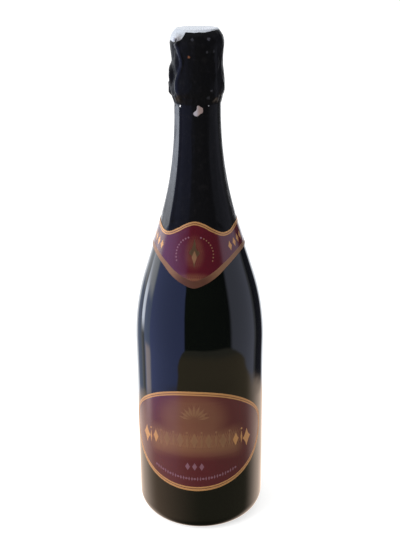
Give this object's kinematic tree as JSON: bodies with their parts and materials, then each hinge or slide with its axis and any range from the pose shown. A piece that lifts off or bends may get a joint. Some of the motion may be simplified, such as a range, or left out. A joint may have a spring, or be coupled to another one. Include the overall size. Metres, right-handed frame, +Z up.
{
  "type": "champagne bottle",
  "caption": "Sealed dark glass bottle of sparkling wine with cork, wire hood, crumpled black foil, collar label and oval front label.",
  "frame": {"origin": "centre of the base, on the surface the bottle stands on", "axes": "+Z up along the bottle's axis, -Y towards the front (the labels' middle is turned 5.5 degrees towards -X), +X to the right seen from the front"},
  "size_m": [0.084, 0.0842, 0.3225],
  "materials": {
    "dark_glass": "gloss",
    "wine": "clear",
    "pressed_cork": "matte",
    "natural_cork": "matte",
    "hood_wire": "bright wire",
    "plate_lacquer": "lacquered tinplate",
    "black_foil": "gloss black lacquer",
    "bare_foil": "satin",
    "label_paper": "coated paper with metallic print"
  },
  "bodies": {
    "bottle": {"glass_bottle": "dark_glass", "wine": "wine", "foil_skirt": "black_foil", "foil_tear_strip": "black_foil", "collar_label": "label_paper", "front_label": "label_paper"},
    "cork": {"cork_body": "pressed_cork", "cork_disc_upper": "natural_cork", "cork_disc_lower": "natural_cork"},
    "cage": {"muselet_cage": "hood_wire", "muselet_plate": "plate_lacquer", "muselet_belt": "hood_wire"},
    "key": {"muselet_key": "hood_wire"},
    "foil": {"foil_hood": "black_foil", "foil_top_disc": "black_foil"},
    "tab": {"tear_tab": "bare_foil"}
  },
  "joints": [
    {"name": "cork_lift", "type": "slide", "parent": "bottle", "child": "cork", "axis": [0, 0, 1], "range_m": [0, 0.06]},
    {"name": "cage_lift", "type": "slide", "parent": "cork", "child": "cage", "axis": [0, 0, 1], "range_m": [0, 0.05], "deforming": ["muselet_cage", "muselet_belt"]},
    {"name": "foil_lift", "type": "slide", "parent": "cage", "child": "foil", "axis": [0, 0, 1], "range_m": [0, 0.055], "deforming": ["foil_hood"]},
    {"name": "key_fold", "type": "hinge", "parent": "cage", "child": "key", "pos_m": [-0.01593, 0.00084, 0.28537], "axis": [-0.0523, -0.9986, 0], "range_deg": [0, 90]},
    {"name": "tab_peel", "type": "hinge", "parent": "bottle", "child": "tab", "pos_m": [0.00323, -0.01398, 0.27647], "axis": [0, 0, 1], "range_deg": [0, 120]}
  ],
  "couplings": [
    {"joint": "key_fold", "follows": "foil_lift", "rad_per_m": 28.5}
  ]
}
